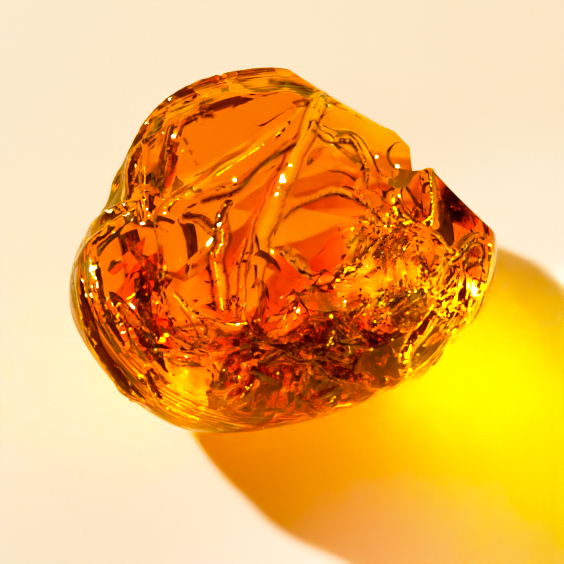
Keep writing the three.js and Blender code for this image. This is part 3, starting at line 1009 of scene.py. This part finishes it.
def streaks(lines):
    """The strongest line at each point. A line is full to half its width away and gone at 1.5 widths."""
    place = wandering(flat)
    total = np.zeros(len(flat))
    for width, strength, *stops in lines:
        line = on_the_face(stops)
        low, high = line.min(axis=0) - width, line.max(axis=0) + width
        close = np.flatnonzero(((place > low) & (place < high)).all(axis=1))
        if len(close) > 0:
            _row, _share, gap = nearest_on(line, place[close])
            near = np.clip(1.5 - np.linalg.norm(gap, axis=1) / width, 0, 1)
            total[close] = np.maximum(total[close], strength * near)
    return total


def keep_on_lump(name, values):
    layer = lump.data.attributes.new(name, "FLOAT", "POINT")
    layer.data.foreach_set("value", np.clip(values, 0, 1).astype(np.float32))


flat = (points_of(lump) - nodule_middle) @ FACE.T / MM
in_front = flat[:, 2] > -RIM_SLANT * flat[:, 1]
# Painted light and painted shade are kept on the lump for the amber's colour; the crumbled values only
# roughen its skin.
keep_on_lump("bright", np.maximum(spots(PAINTED_LIGHT_PATCHES), in_front * streaks(painted_light_lines)))
keep_on_lump("dark line", in_front * streaks(painted_shade_lines))
keep_on_lump("golden", in_front * spots(PAINTED_HIGHLIGHT_SPOTS))
keep_on_lump("dark", in_front * spots(PAINTED_SHADE_SPOTS))
keep_on_lump("crumbled", in_front * spots(CRUMBLED_SPOTS))

# The amber itself: clear resin that refracts like glass and takes the blue and green out of the light. Its
# skin has faint rings along the worn rim and a crumbled grain where it was crushed. Its colour is lightened
# with painted light and darkened with painted shade where the kept values say.
PLAIN_TINT = (1.0, 0.34, 0.015, 1)
# The colours of the painted light and of the painted shade.
PAINTED_LIGHT_TINT = (1.0, 1.0, 0.06, 1)
PAINTED_SHADE_TINT = (0.015, 0.001, 0.0, 1)
LET_THROUGH = (0.98, 0.92, 0.0, 1)
ABSORPTION = 250
RING_STEPS, RING_DEPTH = 55.0, 0.16
RING_START, RING_FULL = 0.78, 0.9
CRUMB_SIZE, CRUMB_DEPTH = 1.5, 0.25
SKIN_GRAIN, SKIN_DEPTH = 2.0, 0.02
PATCH_SIZE = 1.6
PAINTED_LIGHT_FADE, PAINTED_SHADE_FADE = (0.35, 0.55), (0.8, 0.4)

amber = bpy.data.materials.new("amber")
amber.use_nodes = True
tree = amber.node_tree
resin = tree.nodes["Principled BSDF"]
resin.inputs["Specular Tint"].default_value = (1.0, 0.75, 0.3, 1)
resin.inputs["Transmission Weight"].default_value = 1
resin.inputs["IOR"].default_value = 1.54
resin.inputs["Roughness"].default_value = 0.02


def added(kind, output, inputs, **settings):
    """The output of a new node, whose inputs are numbers, colours or the outputs of other nodes."""
    node = tree.nodes.new("ShaderNode" + kind)
    for name, value in settings.items():
        setattr(node, name, value)
    for name, value in inputs.items():
        if isinstance(value, bpy.types.NodeSocket):
            tree.links.new(value, node.inputs[name])
        else:
            node.inputs[name].default_value = value
    return node.outputs[output]


def reckon(operation, first, second=0.0):
    return added("Math", "Value", {0: first, 1: second}, operation=operation)


def fade(value, none, full):
    inputs = {"Value": value, "From Min": none, "From Max": full}
    return added("MapRange", "Result", inputs, interpolation_type="SMOOTHSTEP")


def along_way(way, scale):
    """How far a point lies from the lump's middle along one direction, over a scale in millimetres."""
    inputs = {0: place, 1: way / (scale * MM)}
    across = added("VectorMath", "Value", inputs, operation="DOT_PRODUCT")
    return reckon("SUBTRACT", across, float(nodule_middle @ way) / (scale * MM))


def grain(size, detail):
    return added("TexNoise", "Fac", {"Vector": place, "Scale": 1 / (size * MM), "Detail": detail})


def ring_noise(*ways):
    joined = added("CombineXYZ", "Vector", dict(enumerate(ways)))
    return added("TexNoise", "Fac", {"Vector": joined, "Scale": 1, "Detail": 1})


def crumbs(size):
    inputs = {"Vector": place, "Scale": 1 / (size * MM)}
    return added("TexVoronoi", "Distance", inputs, distance="CHEBYCHEV")


def kept(name):
    return added("Attribute", "Fac", {}, attribute_name=name)


def mixed(first, second, share):
    return added("Mix", 2, {"Factor": share, 6: first, 7: second}, data_type="RGBA")


body = added("VolumeAbsorption", "Volume", {"Color": LET_THROUGH, "Density": ABSORPTION})
tree.links.new(body, tree.nodes["Material Output"].inputs["Volume"])

place = added("TexCoord", "Object", {})
right, up = along_way(ALONG, HALF_SIZE[0] / MM), along_way(UP, half_up / MM)
reach = reckon("SQRT", reckon("ADD", reckon("POWER", right, 2.0), reckon("POWER", up, 2.0)))
wander = (reckon("MULTIPLY", right, 2.0), reckon("MULTIPLY", up, 2.0))
rings = ring_noise(reckon("MULTIPLY", reach, RING_STEPS), *wander)
rings = reckon("MULTIPLY", rings, fade(reach, RING_START, RING_FULL))
height = reckon("MULTIPLY", rings, RING_DEPTH)
crumbled = reckon("MULTIPLY", crumbs(CRUMB_SIZE), kept("crumbled"))
height = reckon("ADD", height, reckon("MULTIPLY", crumbled, CRUMB_DEPTH))
height = reckon("ADD", height, reckon("MULTIPLY", grain(SKIN_GRAIN, 1.0), SKIN_DEPTH))
skin = added("Bump", "Normal", {"Strength": 1, "Distance": MM, "Height": height})
tree.links.new(skin, resin.inputs["Normal"])

# The amber's colour: lightened by painted light and painted highlights, darkened by painted shade, in
# patches broken up by noise.
patchy = grain(PATCH_SIZE, 2.0)
painted_highlight_patches = reckon("MULTIPLY", kept("golden"), fade(patchy, *PAINTED_LIGHT_FADE))
golden = reckon("MAXIMUM", painted_highlight_patches, kept("bright"))
painted_shade_patches = reckon("MULTIPLY", kept("dark"), fade(patchy, *PAINTED_SHADE_FADE))
dark = reckon("MAXIMUM", painted_shade_patches, kept("dark line"))
tint = mixed(mixed(PLAIN_TINT, PAINTED_LIGHT_TINT, golden), PAINTED_SHADE_TINT, dark)
tree.links.new(tint, resin.inputs["Base Color"])
lump.data.materials.clear()
lump.data.materials.append(amber)
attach(lump, "root")
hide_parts("amber")

# The table. The lump lies on a plain pale sheet of matt board, which shows the light that falls through
# the amber. The sheet's face is a hair's breadth below the flat spot.
TABLE_COLOUR = (0.90, 0.80, 0.70, 1)
TABLE_SIZE = 3
TABLE_GAP = 0.02 * MM
bpy.ops.object.select_all(action="DESELECT")
bpy.ops.mesh.primitive_plane_add(size=TABLE_SIZE, location=(0, 0, -TABLE_GAP))
table = bpy.context.object
table.name = "table"
sheet = bpy.data.materials.new("table")
sheet.use_nodes = True
sheet.node_tree.nodes["Principled BSDF"].inputs["Base Color"].default_value = TABLE_COLOUR
sheet.node_tree.nodes["Principled BSDF"].inputs["Roughness"].default_value = 0.6
table.data.materials.append(sheet)

# The light. One soft lamp stands behind on the left and a warm panel behind. Small lamps light the lump's
# inside, its golden facets and the glow on the table, where the lump gathers the light.
middle = Vector(nodule_middle)


def place_lamp(name, lamp, azimuth, elevation, distance, aim):
    way = Vector(towards(azimuth, elevation))
    holder = bpy.data.objects.new(name, lamp)
    holder.location = middle + Vector(aim) * MM + way * distance
    holder.rotation_mode = "QUATERNION"
    holder.rotation_quaternion = way.to_track_quat("Z", "Y")
    bpy.context.scene.collection.objects.link(holder)
    return holder


def soft_lamp(name, azimuth, elevation, distance, size, power, colour):
    lamp = bpy.data.lights.new(name, "AREA")
    lamp.shape = "DISK"
    lamp.size = size
    lamp.energy = power
    lamp.color = colour
    place_lamp(name, lamp, azimuth, elevation, distance, (0, 0, 0))


def narrow_lamp(name, azimuth, elevation, distance, size, power, colour, cone, edge=1.0, aim=(0, 0, 0)):
    lamp = bpy.data.lights.new(name, "SPOT")
    lamp.shadow_soft_size = size / 2
    lamp.energy = power
    lamp.color = colour
    lamp.spot_size = math.radians(cone)
    lamp.spot_blend = edge
    holder = place_lamp(name, lamp, azimuth, elevation, distance, aim)
    holder.visible_camera = False


def degrees(azimuth, elevation):
    return math.radians(azimuth), math.radians(elevation)


DAYLIGHT, LAMPLIGHT = (1.0, 0.78, 0.58), (1.0, 0.85, 0.65)
EMBER, GOLD, HONEY = (1.0, 0.55, 0.15), (1.0, 0.75, 0.03), (1.0, 0.62, 0.08)
LEMON, PEACH, CREAM = (1.0, 0.93, 0.0), (1.0, 0.38, 0.24), (1.0, 0.85, 0.72)
soft_lamp("key", *WHITE_LAMP, 0.15, 118, DAYLIGHT)
soft_lamp("panel", *degrees(180, 22), 0.7, 0.6, 2.6, EMBER)
narrow_lamp("beam", *WHITE_LAMP[:2], 0.16, 0.018, 200, LAMPLIGHT, 3.2, 0.5, aim=(5, 7, 4))
narrow_lamp("top", *degrees(0, 84), 0.14, 0.012, 30, LAMPLIGHT, 3, aim=(-6, -6, -13))
narrow_lamp("gold", *degrees(100, 28), 0.15, 0.012, 100, GOLD, 4.5, 0.5, aim=(11, -4.8, 5.2))
narrow_lamp("sparkle", *GOLD_LAMP, 0.03, 1.0, HONEY, 12)
narrow_lamp("glow", *degrees(60, 60), 0.3, 0.03, 9, LEMON, 4.5, aim=(31, -16, -13))
narrow_lamp("peach", *degrees(20, 50), 0.3, 0.03, 11, PEACH, 9, aim=(15, -42, -13))
narrow_lamp("strip", *degrees(60, 60), 0.3, 0.03, 6, CREAM, 3.2, aim=(31, 9, -13))

# The room. It is warm at the horizon and dim above, which keeps the amber's edges dark, and plain pale
# where it is seen past the table.
HORIZON, ABOVE = (0.30, 0.25, 0.19, 1), (0.06, 0.05, 0.045, 1)
BACKDROP = (1.75, 1.5, 1.2, 1)
world = bpy.data.worlds.new("room")
bpy.context.scene.world = world
world.use_nodes = True
tree = world.node_tree
walls = tree.nodes.new("ShaderNodeValToRGB")
walls.color_ramp.elements[0].position = 0.0
walls.color_ramp.elements[0].color = HORIZON
walls.color_ramp.elements[1].position = 0.5
walls.color_ramp.elements[1].color = ABOVE
height = added("SeparateXYZ", "Z", {0: added("TexCoord", "Generated", {})})
tree.links.new(height, walls.inputs["Fac"])
seen = mixed(walls.outputs["Color"], BACKDROP, added("LightPath", "Is Camera Ray", {}))
tree.links.new(seen, tree.nodes["Background"].inputs["Color"])

# The camera. It looks square at the broken face, from EYE_DISTANCE, and the lens is as long as the
# picture's scale on that face asks.
PICTURE = 564
SENSOR = 36
lens = bpy.data.cameras.new("camera")
lens.sensor_width = SENSOR
lens.lens = SENSOR * EYE_DISTANCE / (PICTURE / PIXELS_PER_MM * MM)
lens.clip_start = 0.01
camera = bpy.data.objects.new("camera", lens)
bpy.context.scene.collection.objects.link(camera)
aim = (
    middle
    - Vector(ALONG) * (FACE_PIXEL[0] - PICTURE / 2) / PIXELS_PER_MM * MM
    + Vector(UP) * (FACE_PIXEL[1] - PICTURE / 2) / PIXELS_PER_MM * MM
)
camera.location = aim + Vector(OUT) * EYE_DISTANCE
camera.rotation_mode = "QUATERNION"
camera.rotation_quaternion = Vector(OUT).to_track_quat("Z", "Y")
bpy.context.scene.camera = camera

# The grade. The picture is bright, with warm shadows. A curve's points are brightness in and out.
WHITE, BLACK = (2.2, 2.2, 2.2), (0.0, 0.004, 0.03)
ALL_TONES = ((0.1, 0.17), (0.25, 0.42), (0.5, 0.77), (0.75, 0.94))
GREENS = ((0.06, 0.043), (0.15, 0.125), (0.3, 0.29))
BLUES = ((0.07, 0.0), (0.15, 0.09), (0.25, 0.25), (0.4, 0.44), (0.7, 0.72))
view = bpy.context.scene.view_settings
view.view_transform = "Standard"
view.use_curve_mapping = True
grade = view.curve_mapping
grade.white_level = WHITE
grade.black_level = BLACK
green, blue, tones = grade.curves[1:4]
for curve, points in ((green, GREENS), (blue, BLUES), (tones, ALL_TONES)):
    for point in points:
        curve.points.new(*point)
for curve in (green, blue):
    for point in curve.points:
        point.handle_type = "VECTOR"
grade.update()
bpy.context.scene.cycles.sample_clamp_indirect = 0

bpy.ops.object.select_all(action="DESELECT")
